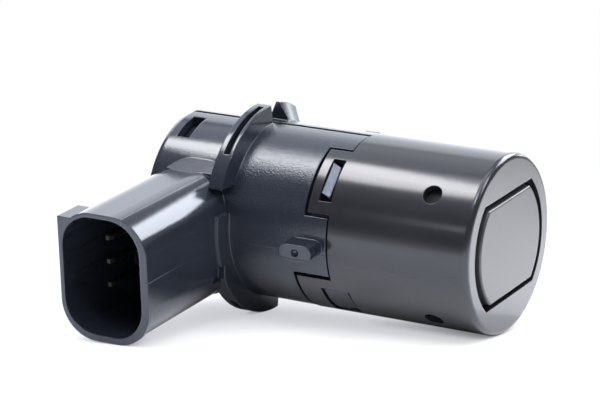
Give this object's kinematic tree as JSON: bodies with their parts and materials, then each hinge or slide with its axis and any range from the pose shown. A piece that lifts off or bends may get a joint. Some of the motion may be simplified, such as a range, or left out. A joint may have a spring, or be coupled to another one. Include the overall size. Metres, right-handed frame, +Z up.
{
  "type": "parking sensor",
  "caption": "Ultrasonic bumper parking sensor: round ring with a flat-sided sensing face, split barrel housing with a seat flange, and a side socket for a plug.",
  "frame": {"origin": "on the barrel's axis in the plane of the ring's front face", "axes": "+X out of the sensing face along the barrel's axis, -Y out of the plug socket, +Z up with the flats of the sensing face level"},
  "size_m": [0.0515, 0.0474, 0.0298],
  "materials": {
    "ring_plastic": "smooth dark grey moulding",
    "housing_plastic": "fine satin moulding",
    "cup_metal": "satin dark grey coat",
    "piezo_ceramic": "fired, matt",
    "damping_foam": "open foam",
    "silicone_rubber": "matt",
    "red_insulation": "satin",
    "black_insulation": "satin",
    "board_laminate": "green solder mask",
    "chip_epoxy": "matt moulded epoxy",
    "ferrite": "ground ferrite",
    "copper_wire": "enamelled copper",
    "capacitor_ceramic": "fired, satin",
    "tantalum_moulding": "satin",
    "tinned_brass": "tin plated",
    "solder": "bright tin solder"
  },
  "bodies": {
    "root": {"trim_ring": "ring_plastic", "transducer_cup": "cup_metal", "piezo_disc": "piezo_ceramic", "damping_pad": "damping_foam", "decoupling_ring": "silicone_rubber", "signal_lead": "red_insulation", "ground_lead": "black_insulation", "main_housing": "housing_plastic", "housing_cover": "housing_plastic", "circuit_board": "board_laminate", "signal_chip": "chip_epoxy", "transformer_core": "ferrite", "transformer_winding": "copper_wire", "ceramic_capacitors": "capacitor_ceramic", "chip_resistors": "chip_epoxy", "tantalum_capacitor": "tantalum_moulding", "protection_diode": "chip_epoxy", "supply_terminal": "tinned_brass", "signal_terminal": "tinned_brass", "ground_terminal": "tinned_brass", "solder_joints": "solder"}
  },
  "joints": []
}
